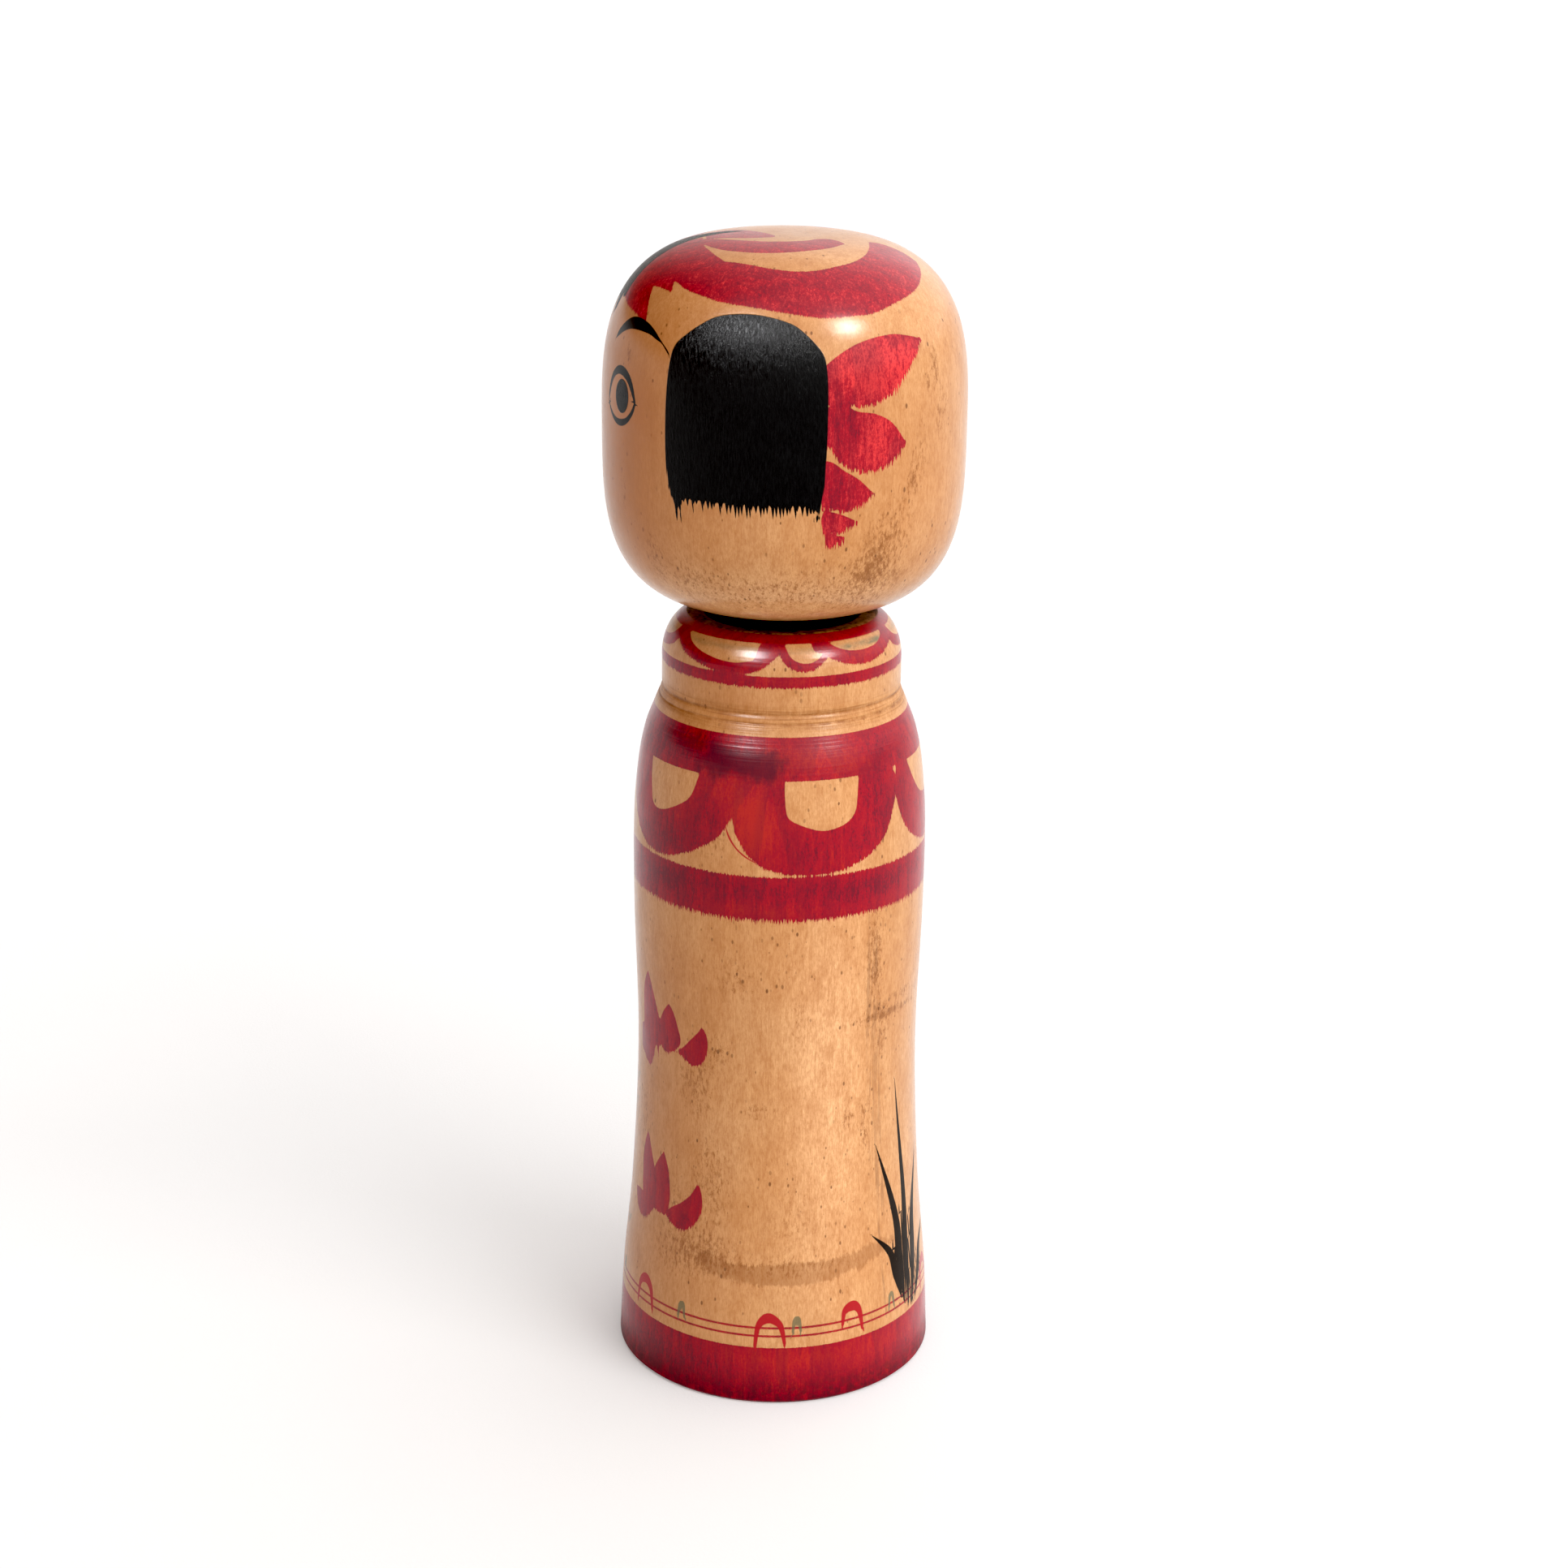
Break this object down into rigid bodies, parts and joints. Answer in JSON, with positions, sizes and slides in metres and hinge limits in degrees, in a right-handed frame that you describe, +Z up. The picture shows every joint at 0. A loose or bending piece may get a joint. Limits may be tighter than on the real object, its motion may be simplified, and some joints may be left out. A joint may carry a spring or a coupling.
{
  "type": "kokeshi doll",
  "caption": "Turned wooden doll with a painted head that turns on a tenon held in the socket of its waisted, collared body.",
  "frame": {"origin": "centre of the flat base", "axes": "+Z up along the turning axis; the face looks along -Y"},
  "size_m": [0.0908, 0.0908, 0.3],
  "materials": {
    "body_wood": "waxed satin wood with dye-painted red bands, scallops and petals",
    "head_wood": "waxed satin wood with a painted face, black side hair and red petals"
  },
  "bodies": {
    "body": {"body": "body_wood"},
    "head": {"head": "head_wood"}
  },
  "joints": [
    {"name": "head_turn", "type": "hinge", "parent": "body", "child": "head", "pos_m": [0, 0, 0.1986], "axis": [0, 0, 1], "continuous": true}
  ]
}
